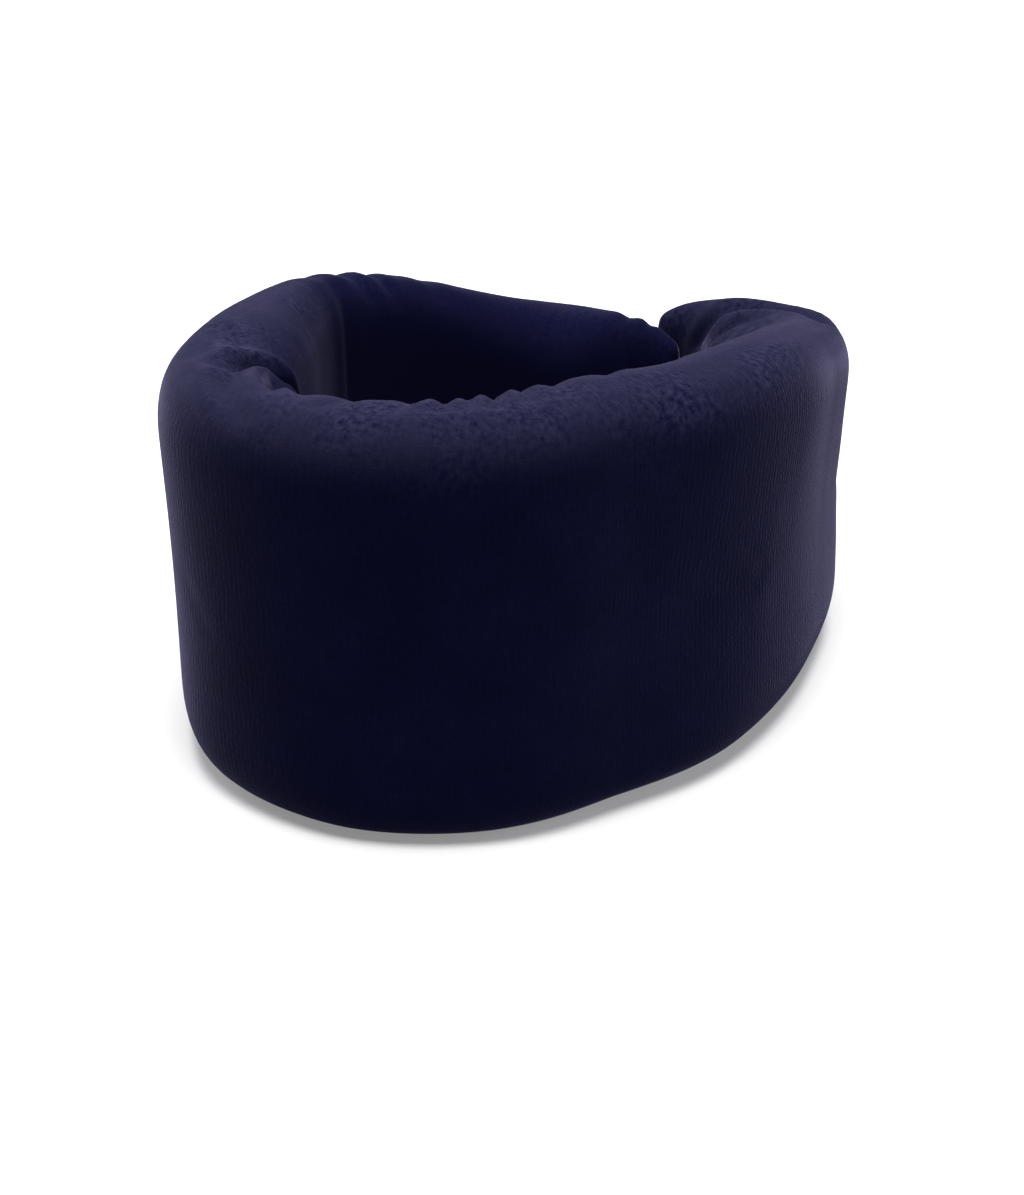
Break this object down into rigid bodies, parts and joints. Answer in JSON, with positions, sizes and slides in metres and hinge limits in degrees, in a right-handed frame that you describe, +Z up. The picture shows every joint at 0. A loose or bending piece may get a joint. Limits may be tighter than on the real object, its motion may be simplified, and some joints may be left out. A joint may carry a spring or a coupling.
{
  "type": "soft cervical collar",
  "caption": "Soft foam neck collar in a dark navy knit cover, closed into a ring at the back with a hook-and-loop strap.",
  "frame": {"origin": "on the surface the collar stands on, under the middle of its closed outline", "axes": "+Z up towards the chin edge, -Y towards the front of the neck, +Y towards the closure, +X the wearer's left"},
  "size_m": [0.1578, 0.1958, 0.1072],
  "materials": {
    "knit": "soft matt knit",
    "foam": "open-cell foam",
    "tape": "woven tape",
    "loop": "brushed loop",
    "hook": "moulded hooks",
    "thread": "spun thread"
  },
  "bodies": {
    "right_half": {"cover_right": "knit", "foam_core_right": "foam", "end_binding_right": "tape", "end_seam_right": "thread", "strap_root": "tape", "strap_root_seam": "thread"},
    "left_half": {"cover_left": "knit", "foam_core_left": "foam", "end_binding_left": "tape", "end_seam_left": "thread", "loop_pad": "loop", "loop_pad_seam": "thread"},
    "strap": {"strap_tape": "tape", "hook_patch": "hook", "hook_patch_seam": "thread"}
  },
  "joints": [
    {"name": "collar_open", "type": "hinge", "parent": "right_half", "child": "left_half", "pos_m": [0.00014, -0.0981, 0], "axis": [0, 0, 1], "range_deg": [0, 60]},
    {"name": "strap_peel", "type": "hinge", "parent": "right_half", "child": "strap", "pos_m": [0.0058, 0.0928, 0.035], "axis": [0, 0, -1], "range_deg": [0, 120]}
  ],
  "couplings": [
    {"joint": "strap_peel", "follows": "collar_open", "ratio": 2}
  ]
}
